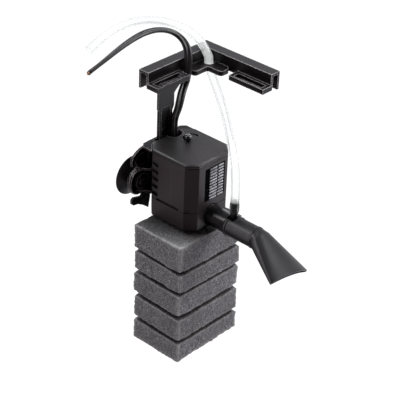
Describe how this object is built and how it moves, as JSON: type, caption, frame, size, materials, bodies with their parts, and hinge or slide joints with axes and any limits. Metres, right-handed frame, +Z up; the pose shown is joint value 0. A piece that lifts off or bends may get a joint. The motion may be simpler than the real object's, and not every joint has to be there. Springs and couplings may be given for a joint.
{
  "type": "internal power filter",
  "caption": "Corner-hung internal aquarium filter: pump head with swivelling fan outlet, flow lever, foam block, suction bracket, air hose and cable on an L-shaped rim holder.",
  "frame": {"origin": "where the middle planes of the tank's two glass panes cross, at rim height, on the ceiling of the corner holder's channel", "axes": "+Z up; -X along the back pane, -Y along the side pane; the pump's outlet points to -Y and its back faces the back pane at +Y"},
  "size_m": [0.1156, 0.1533, 0.2426],
  "materials": {
    "holder_plastic": "satin moulded black plastic with bright worn edges",
    "bracket_plastic": "satin moulded black plastic",
    "housing_plastic": "fine-textured brown-black moulded plastic",
    "cap_plastic": "fine-textured black moulded plastic, slightly worn edges",
    "nozzle_plastic": "smooth semi-gloss grey-black moulded plastic",
    "tube_plastic": "smooth semi-gloss black moulded plastic",
    "knob_plastic": "polished black",
    "plate_silver": "silver-printed ribs on black",
    "cup_rubber": "soft glossy black rubber",
    "rubber_black": "matt black rubber",
    "cable_sheath": "satin black flat twin flex",
    "hose_clear": "clear flexible vinyl hose, slightly milky",
    "foam_grey": "open-cell grey filter foam",
    "strainer_plastic": "matt black moulded plastic",
    "rotor_plastic": "ivory moulded plastic",
    "magnet": "grey sintered ferrite",
    "shaft_ceramic": "polished white ceramic",
    "core_steel": "stacked electrical steel",
    "winding_copper": "enamelled copper wire",
    "bobbin_plastic": "cream moulded plastic"
  },
  "bodies": {
    "holder": {"corner_holder": "holder_plastic", "hanger": "holder_plastic", "power_cable": "cable_sheath", "air_hose": "hose_clear"},
    "pump": {"suction_bracket": "bracket_plastic", "suction_cup_left": "cup_rubber", "suction_cup_right": "cup_rubber", "top_cap": "cap_plastic", "motor_housing": "housing_plastic", "front_plate": "plate_silver", "lower_housing": "housing_plastic", "impeller_cover": "strainer_plastic", "impeller_shaft": "shaft_ceramic", "shaft_bush_lower": "rubber_black", "shaft_bush_upper": "rubber_black", "chamber_seal": "rubber_black", "stator_core": "core_steel", "coil_bobbin": "bobbin_plastic", "coil_winding": "winding_copper", "outlet_tube": "tube_plastic", "nozzle_seal": "rubber_black", "intake_strainer": "strainer_plastic", "cable_grommet": "rubber_black"},
    "rotor": {"rotor_magnet": "magnet", "impeller": "rotor_plastic"},
    "lever": {"flow_lever": "knob_plastic", "flow_spindle": "strainer_plastic"},
    "nozzle": {"fan_nozzle": "nozzle_plastic"},
    "foam": {"filter_foam": "foam_grey"}
  },
  "joints": [
    {"name": "height_adjust", "type": "slide", "parent": "holder", "child": "pump", "axis": [0, 0, 1], "range_m": [-0.02, 0]},
    {"name": "rotor_spin", "type": "hinge", "parent": "pump", "child": "rotor", "pos_m": [-0.0577, -0.0394, -0.075], "axis": [0, 0, 1], "continuous": true},
    {"name": "flow_control", "type": "hinge", "parent": "pump", "child": "lever", "pos_m": [-0.048, -0.0314, -0.049], "axis": [0, 0, 1], "range_deg": [-200, 4]},
    {"name": "nozzle_swivel", "type": "hinge", "parent": "pump", "child": "nozzle", "pos_m": [-0.0577, -0.092, -0.0917], "axis": [0, 1, 0], "range_deg": [-28, 5]},
    {"name": "foam_pull", "type": "slide", "parent": "pump", "child": "foam", "axis": [0, 0, -1], "range_m": [0, 0.08]}
  ]
}
